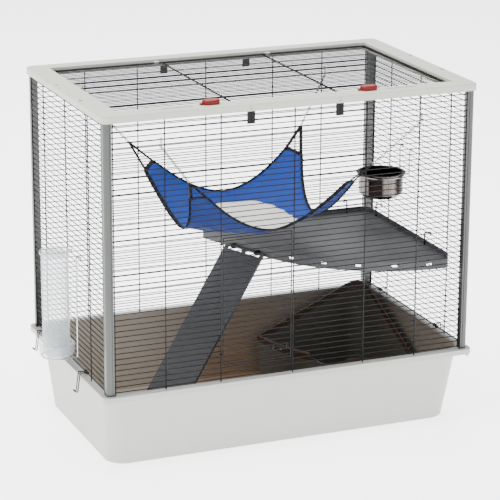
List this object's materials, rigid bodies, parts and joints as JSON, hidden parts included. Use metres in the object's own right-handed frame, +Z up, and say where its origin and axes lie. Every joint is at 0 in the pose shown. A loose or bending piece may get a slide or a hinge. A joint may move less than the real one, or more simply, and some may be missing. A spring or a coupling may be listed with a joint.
{
  "type": "hamster cage",
  "caption": "Tall wire cage on a plastic tray, with posts, opening roof lid, front door, corner shelf, ramp, hammock, bowl, bottle and litter pan.",
  "frame": {"origin": "centre of the tray's underside", "axes": "+X along the length to the right end, +Y from the door side to the back, +Z up"},
  "size_m": [0.8576, 0.4827, 0.7093],
  "materials": {
    "tray_plastic": "satin moulded, light grey",
    "frame_plastic": "satin moulded, warm light grey",
    "aluminium": "extruded, satin",
    "wire": "black powder coat",
    "bright_wire": "zinc plated",
    "black_plastic": "moulded, black",
    "red_plastic": "semi-gloss, red",
    "grey_plastic": "fine grain, slate grey",
    "pan_plastic": "fine grain, dark olive grey",
    "steel": "polished stainless",
    "clear_plastic": "clear",
    "cloth": "woven nylon, royal blue",
    "webbing": "black webbing"
  },
  "bodies": {
    "tray": {"tray": "tray_plastic"},
    "cage": {"roof_frame": "frame_plastic", "post_front_left": "aluminium", "post_front_right": "aluminium", "post_rear_left": "aluminium", "post_rear_right": "aluminium", "front_uprights": "wire", "rear_uprights": "wire", "left_uprights": "wire", "right_uprights": "wire", "front_rows_low": "wire", "front_rows_left": "wire", "front_rows_right": "wire", "front_rows_high": "wire", "rear_rows": "wire", "left_rows": "wire", "right_rows": "wire", "lid_hinges": "frame_plastic", "panel_clips": "black_plastic", "shelf": "grey_plastic", "shelf_hooks": "wire", "ramp_brackets": "black_plastic", "bowl_holder": "bright_wire", "bottle_holder": "bright_wire", "hammock": "cloth", "hammock_straps": "webbing", "hammock_chains": "bright_wire", "hammock_hooks": "bright_wire"},
    "roof_lid": {"lid_border": "wire", "lid_grid": "wire"},
    "knob_left": {"knob_left": "red_plastic"},
    "knob_right": {"knob_right": "red_plastic"},
    "front_door": {"front_door": "wire", "latch_guides": "wire"},
    "door_latch": {"door_latch": "wire"},
    "rim_clip_left_front": {"rim_clip_left_front": "wire"},
    "rim_clip_left_rear": {"rim_clip_left_rear": "wire"},
    "rim_clip_right_front": {"rim_clip_right_front": "wire"},
    "rim_clip_right_rear": {"rim_clip_right_rear": "wire"},
    "ramp": {"ramp": "grey_plastic"},
    "bowl": {"bowl": "steel"},
    "bottle": {"bottle_tank": "clear_plastic", "bottle_dish": "clear_plastic", "bottle_cap": "clear_plastic"},
    "litter_pan": {"litter_pan": "pan_plastic"}
  },
  "joints": [
    {"name": "cage_lift", "type": "slide", "parent": "tray", "child": "cage", "axis": [0, 0, 1], "range_m": [0, 0.25]},
    {"name": "lid_hinge", "type": "hinge", "parent": "cage", "child": "roof_lid", "pos_m": [0, 0.194, 0.693], "axis": [-1, 0, 0], "range_deg": [0, 100]},
    {"name": "knob_left_turn", "type": "hinge", "parent": "cage", "child": "knob_left", "pos_m": [-0.162, -0.209, 0.7], "axis": [0, 0, -1], "range_deg": [0, 90]},
    {"name": "knob_right_turn", "type": "hinge", "parent": "cage", "child": "knob_right", "pos_m": [0.162, -0.209, 0.7], "axis": [0, 0, -1], "range_deg": [0, 90]},
    {"name": "door_hinge", "type": "hinge", "parent": "cage", "child": "front_door", "pos_m": [-0.15, -0.23015, 0.3], "axis": [0, 0, -1], "range_deg": [0, 150]},
    {"name": "door_bolt", "type": "slide", "parent": "front_door", "child": "door_latch", "axis": [1, 0, 0], "range_m": [0, 0.012]},
    {"name": "ramp_hinge", "type": "hinge", "parent": "cage", "child": "ramp", "pos_m": [0.03116, 0.09075, 0.311], "axis": [-0.3722, 0.9282, 0], "range_deg": [0, 45]},
    {"name": "bowl_lift", "type": "slide", "parent": "cage", "child": "bowl", "axis": [0, 0, 1], "range_m": [0, 0.12]},
    {"name": "bottle_lift", "type": "slide", "parent": "cage", "child": "bottle", "axis": [0, 0, 1], "range_m": [0, 0.15]},
    {"name": "pan_lift", "type": "slide", "parent": "tray", "child": "litter_pan", "axis": [0, 0, 1], "range_m": [0, 0.1]},
    {"name": "clip_left_front_swing", "type": "hinge", "parent": "cage", "child": "rim_clip_left_front", "pos_m": [-0.378, -0.098, 0.162], "axis": [0, 1, 0], "range_deg": [-8, 60]},
    {"name": "clip_left_rear_swing", "type": "hinge", "parent": "cage", "child": "rim_clip_left_rear", "pos_m": [-0.378, 0.165, 0.162], "axis": [0, 1, 0], "range_deg": [-8, 60]},
    {"name": "clip_right_front_swing", "type": "hinge", "parent": "cage", "child": "rim_clip_right_front", "pos_m": [0.378, -0.098, 0.162], "axis": [0, -1, 0], "range_deg": [-8, 60]},
    {"name": "clip_right_rear_swing", "type": "hinge", "parent": "cage", "child": "rim_clip_right_rear", "pos_m": [0.378, 0.165, 0.162], "axis": [0, -1, 0], "range_deg": [-8, 60]}
  ]
}
